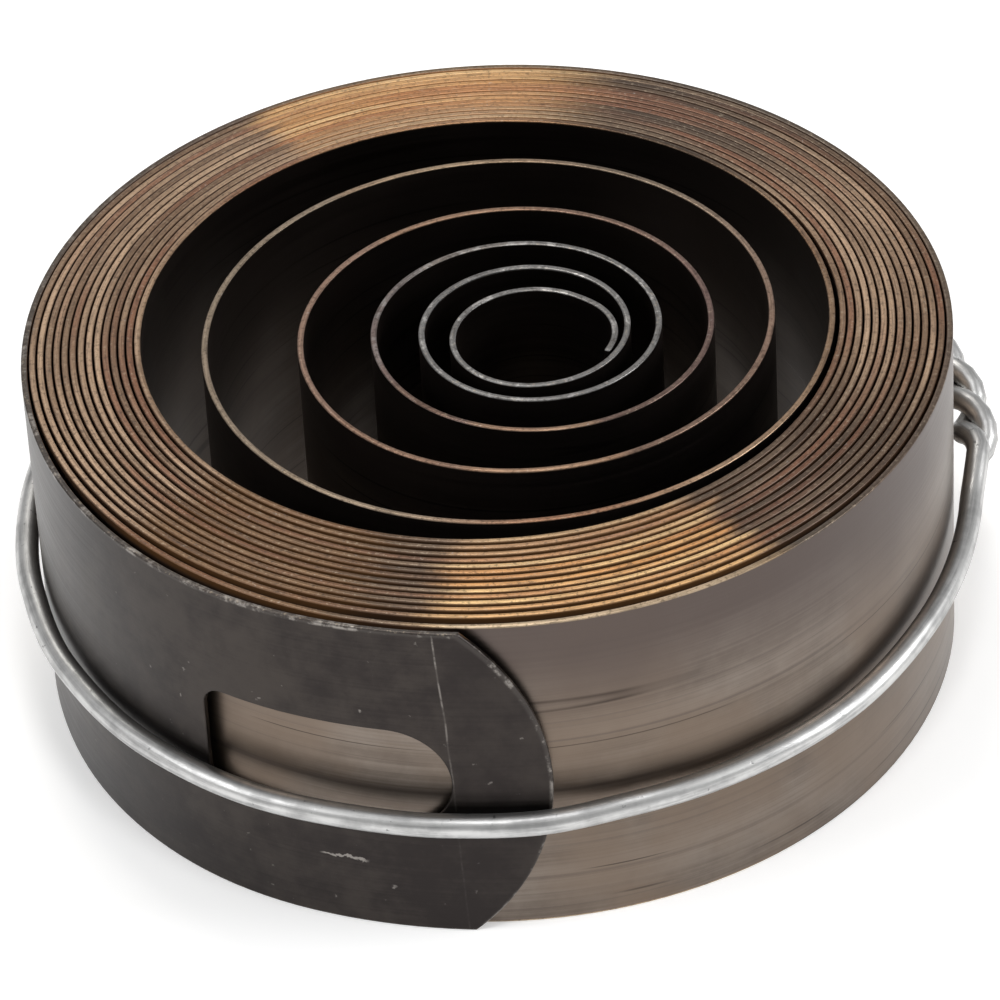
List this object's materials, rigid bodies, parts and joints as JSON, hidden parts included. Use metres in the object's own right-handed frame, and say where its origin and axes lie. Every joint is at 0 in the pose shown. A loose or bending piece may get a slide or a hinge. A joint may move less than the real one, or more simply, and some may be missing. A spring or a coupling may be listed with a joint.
{
  "type": "clock mainspring",
  "caption": "Flat steel strip clock mainspring, wound in a spiral round an open eye, with a slotted free end, tied closed by a twisted wire.",
  "frame": {"origin": "centre of the eye that goes on the arbor, at the lower edge of the strip", "axes": "+Z along the arbor, up to the upper edge of the strip; -Y towards the free end of the strip; +X towards the twist in the wire; seen from +Z the strip winds outwards anticlockwise"},
  "size_m": [0.0676, 0.0667, 0.025],
  "materials": {
    "spring_steel": "satin, heat tinted brown with orange patches on the edges, oiled",
    "iron_wire": "matte galvanised"
  },
  "bodies": {
    "spring": {"mainspring": "spring_steel"},
    "wire": {"retaining_wire": "iron_wire"}
  },
  "joints": [
    {"name": "wire_lift", "type": "slide", "parent": "spring", "child": "wire", "axis": [0, 0, 1], "range_m": [-0.008, 0.02]}
  ]
}
